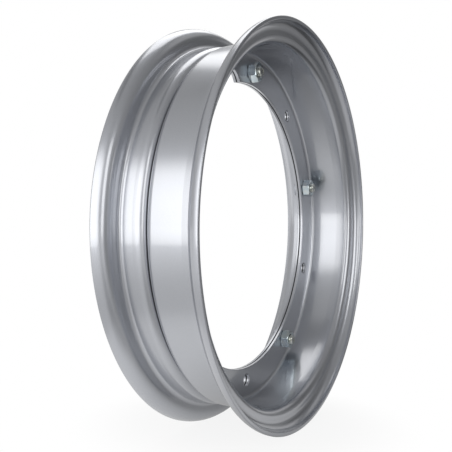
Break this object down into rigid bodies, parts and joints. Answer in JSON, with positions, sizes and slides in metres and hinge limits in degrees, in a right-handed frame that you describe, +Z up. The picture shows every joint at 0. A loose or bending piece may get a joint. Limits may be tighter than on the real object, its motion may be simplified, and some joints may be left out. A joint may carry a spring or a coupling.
{
  "type": "motor scooter wheel rim",
  "caption": "Split pressed-steel scooter wheel rim in silver lacquer: a wide and a narrow half clamped flange to flange by studs and zinc nuts, with hub bolt holes.",
  "frame": {"origin": "on the wheel axis, in the plane of the hub face, which is the inner flange face of the wide half", "axes": "the wheel turns about Y; -Y points to the hub and out of the wide half, +Y out of the narrow half; +Z is up, through the first clamp stud"},
  "size_m": [0.282, 0.0708, 0.282],
  "materials": {
    "silver_lacquer": "satin silver lacquer on pressed sheet steel",
    "zinc_stud": "zinc plated steel with a rolled thread",
    "zinc_nut": "blue passivated zinc plate"
  },
  "bodies": {
    "root": {"wide_rim_half": "silver_lacquer", "narrow_rim_half": "silver_lacquer", "clamp_stud_1": "zinc_stud", "clamp_stud_2": "zinc_stud", "clamp_stud_3": "zinc_stud", "clamp_stud_4": "zinc_stud", "clamp_stud_5": "zinc_stud", "clamp_nut_1": "zinc_nut", "clamp_nut_2": "zinc_nut", "clamp_nut_3": "zinc_nut", "clamp_nut_4": "zinc_nut", "clamp_nut_5": "zinc_nut"}
  },
  "joints": []
}
